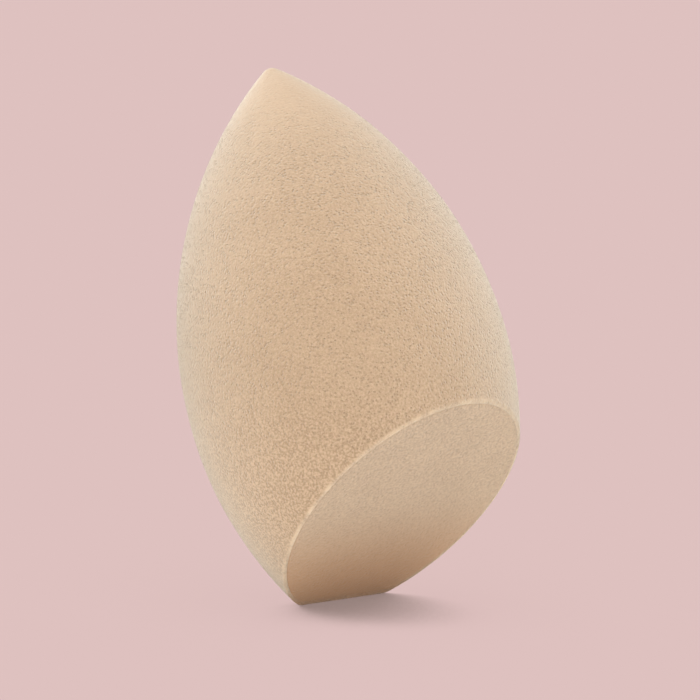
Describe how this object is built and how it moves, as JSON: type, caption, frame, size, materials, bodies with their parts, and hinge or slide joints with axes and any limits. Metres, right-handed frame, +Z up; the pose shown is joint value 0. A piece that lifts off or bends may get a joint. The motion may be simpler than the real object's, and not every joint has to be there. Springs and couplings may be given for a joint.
{
  "type": "makeup sponge",
  "caption": "Beige foam makeup sponge: an olive-shaped body with a pointed nose and a slanted flat cut face, standing on the cut's lower edge.",
  "frame": {"origin": "middle of the small flat foot that the sponge stands on", "axes": "+Z up, with the nose leaning back towards +Y; -Y towards the side that the slanted cut faces; X across, square to the plane of symmetry"},
  "size_m": [0.04, 0.0429, 0.0645],
  "materials": {
    "moulded_skin": "matte, finely pored skin of soft moulded polyurethane foam",
    "cut_foam": "matte, fine open cells laid bare by the blade"
  },
  "bodies": {
    "root": {"moulded_skin": "moulded_skin", "foam_core": "cut_foam"}
  },
  "joints": []
}
